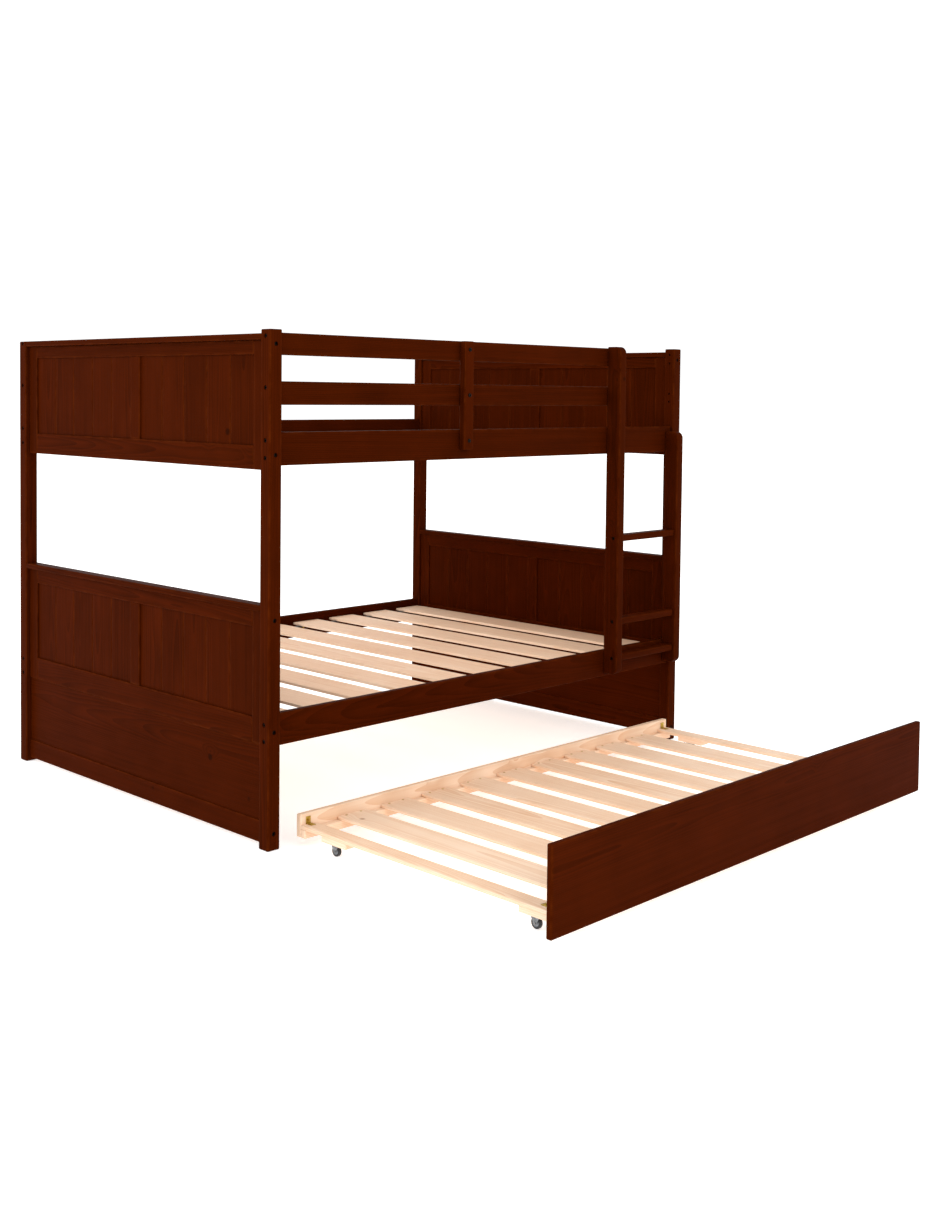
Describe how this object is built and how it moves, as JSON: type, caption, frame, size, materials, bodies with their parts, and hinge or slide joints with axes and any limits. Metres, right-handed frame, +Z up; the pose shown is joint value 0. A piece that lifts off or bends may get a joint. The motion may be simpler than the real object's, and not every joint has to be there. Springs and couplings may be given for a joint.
{
  "type": "trundle bed",
  "caption": "Wooden bunk bed with panelled ends, guard rail and ladder, over a low slatted trundle that rolls out to the front on small casters.",
  "frame": {"origin": "on the floor, at the centre of the whole object's outline with the trundle pulled out", "axes": "+Z up, +X along the bed towards the ladder end, -Y to the front, where the trundle rolls out"},
  "size_m": [2.02, 2.533, 1.542],
  "materials": {
    "walnut_stained_pine": "dark walnut stain under satin lacquer",
    "natural_pine": "planed natural pine",
    "caster_steel": "pressed, zinc plated",
    "wheel_tread": "moulded, satin"
  },
  "bodies": {
    "bunk": {"guard_middle_rail": "walnut_stained_pine", "guard_stile": "walnut_stained_pine", "guard_top_rail": "walnut_stained_pine", "kick_board_left": "walnut_stained_pine", "kick_board_right": "walnut_stained_pine", "ladder_leg_left": "walnut_stained_pine", "ladder_leg_right": "walnut_stained_pine", "ladder_rung_1": "walnut_stained_pine", "ladder_rung_2": "walnut_stained_pine", "ladder_rung_3": "walnut_stained_pine", "lower_cap_left": "walnut_stained_pine", "lower_cap_right": "walnut_stained_pine", "lower_frame_left": "walnut_stained_pine", "lower_frame_right": "walnut_stained_pine", "lower_planks_left": "walnut_stained_pine", "lower_planks_right": "walnut_stained_pine", "lower_rail_back": "walnut_stained_pine", "lower_rail_front": "walnut_stained_pine", "lower_slat_deck": "natural_pine", "post_back_left": "walnut_stained_pine", "post_back_right": "walnut_stained_pine", "post_front_left": "walnut_stained_pine", "post_front_right": "walnut_stained_pine", "upper_cap_left": "walnut_stained_pine", "upper_cap_right": "walnut_stained_pine", "upper_frame_left": "walnut_stained_pine", "upper_frame_right": "walnut_stained_pine", "upper_planks_left": "walnut_stained_pine", "upper_planks_right": "walnut_stained_pine", "upper_rail_back": "walnut_stained_pine", "upper_rail_front": "walnut_stained_pine", "upper_slat_deck": "natural_pine"},
    "trundle": {"caster_block_front_left": "natural_pine", "caster_block_front_right": "natural_pine", "caster_block_rear_left": "natural_pine", "caster_block_rear_right": "natural_pine", "caster_fork_front_left": "caster_steel", "caster_fork_front_right": "caster_steel", "caster_fork_rear_left": "caster_steel", "caster_fork_rear_right": "caster_steel", "trundle_front_panel": "walnut_stained_pine", "trundle_ledger_front": "natural_pine", "trundle_ledger_rear": "natural_pine", "trundle_rear_rail": "natural_pine", "trundle_side_rail_left": "natural_pine", "trundle_side_rail_right": "natural_pine", "trundle_slat_1": "natural_pine", "trundle_slat_2": "natural_pine", "trundle_slat_3": "natural_pine", "trundle_slat_4": "natural_pine", "trundle_slat_5": "natural_pine", "trundle_slat_6": "natural_pine", "trundle_slat_7": "natural_pine", "trundle_slat_8": "natural_pine", "trundle_slat_9": "natural_pine"},
    "wheel_front_left": {"caster_wheel_front_left": "wheel_tread"},
    "wheel_front_right": {"caster_wheel_front_right": "wheel_tread"},
    "wheel_rear_left": {"caster_wheel_rear_left": "wheel_tread"},
    "wheel_rear_right": {"caster_wheel_rear_right": "wheel_tread"}
  },
  "joints": [
    {"name": "trundle_slide", "type": "slide", "parent": "bunk", "child": "trundle", "axis": [0, 1, 0], "range_m": [0, 1.061]},
    {"name": "wheel_front_left_roll", "type": "hinge", "parent": "trundle", "child": "wheel_front_left", "pos_m": [-0.885, -1.155, 0.016], "axis": [1, 0, 0], "continuous": true},
    {"name": "wheel_front_right_roll", "type": "hinge", "parent": "trundle", "child": "wheel_front_right", "pos_m": [0.885, -1.155, 0.016], "axis": [1, 0, 0], "continuous": true},
    {"name": "wheel_rear_left_roll", "type": "hinge", "parent": "trundle", "child": "wheel_rear_left", "pos_m": [-0.885, -0.372, 0.016], "axis": [1, 0, 0], "continuous": true},
    {"name": "wheel_rear_right_roll", "type": "hinge", "parent": "trundle", "child": "wheel_rear_right", "pos_m": [0.885, -0.372, 0.016], "axis": [1, 0, 0], "continuous": true}
  ],
  "couplings": [
    {"joint": "wheel_front_left_roll", "follows": "trundle_slide", "rad_per_m": -62.5},
    {"joint": "wheel_front_right_roll", "follows": "trundle_slide", "rad_per_m": -62.5},
    {"joint": "wheel_rear_left_roll", "follows": "trundle_slide", "rad_per_m": -62.5},
    {"joint": "wheel_rear_right_roll", "follows": "trundle_slide", "rad_per_m": -62.5}
  ]
}
